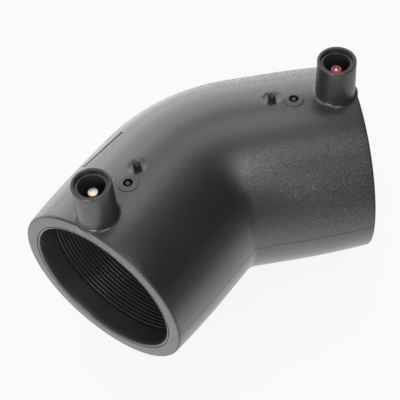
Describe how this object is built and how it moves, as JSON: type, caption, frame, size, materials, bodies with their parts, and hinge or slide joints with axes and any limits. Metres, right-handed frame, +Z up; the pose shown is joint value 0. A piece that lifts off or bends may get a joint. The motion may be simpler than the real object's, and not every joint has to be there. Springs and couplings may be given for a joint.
{
  "type": "electrofusion elbow",
  "caption": "45 degree black polyethylene electrofusion elbow with plain bores, wound heating wire, upright terminal shrouds and fusion indicators.",
  "frame": {"origin": "middle of the bottom of the bounding box, level with the sockets' lowest line, where the elbow lies on its side", "axes": "+X from the left socket to the right socket, +Y to the outside of the bend, +Z up along the terminal pins"},
  "size_m": [0.1498, 0.0962, 0.0955],
  "materials": {
    "body": "black polyethylene with a fine spark-eroded texture",
    "wire_cover": "smooth black polyethylene covering",
    "pin_metal": "turned and plated, pale pinkish brass",
    "collar": "glossy red moulded plastic"
  },
  "bodies": {
    "root": {"body": "body", "heating_wire": "wire_cover", "terminal_pin_left": "pin_metal", "terminal_pin_right": "pin_metal", "terminal_collar_right": "collar"}
  },
  "joints": []
}
